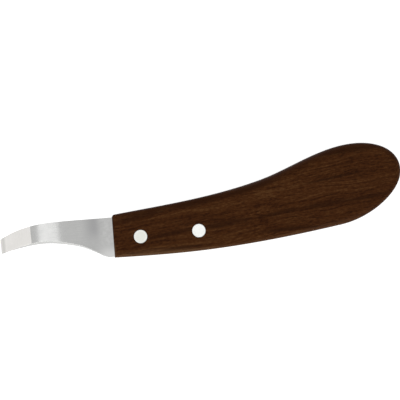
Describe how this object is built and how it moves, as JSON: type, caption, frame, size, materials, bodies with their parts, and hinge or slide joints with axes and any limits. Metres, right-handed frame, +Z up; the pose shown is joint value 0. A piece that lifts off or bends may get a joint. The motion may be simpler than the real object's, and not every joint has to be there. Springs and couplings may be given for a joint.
{
  "type": "hook knife",
  "caption": "Hoof-trimming hook knife: a bowed drop blade with a curled tip, riveted into a slotted, varnished wooden handle that swells to a rounded palm end.",
  "frame": {"origin": "middle of the knife's footprint, on the plane that the palm's flat side and the hook rest on when the knife lies on its side", "axes": "+X along the rivet line towards the butt, so the blade points to -X; +Y from the cutting edge towards the back of the knife; +Z up, out of the convex face of the blade"},
  "size_m": [0.2026, 0.0456, 0.0225],
  "materials": {
    "varnished_wood": "dark brown hardwood, streaked grain along the handle, satin varnish",
    "blade_steel": "satin polished, with a matte ground outside to the hook and a ground bevel",
    "rivet_alloy": "sanded flush with the wood"
  },
  "bodies": {
    "root": {"handle": "varnished_wood", "blade": "blade_steel", "front_rivet_female": "rivet_alloy", "front_rivet_male": "rivet_alloy", "rear_rivet_female": "rivet_alloy", "rear_rivet_male": "rivet_alloy"}
  },
  "joints": []
}
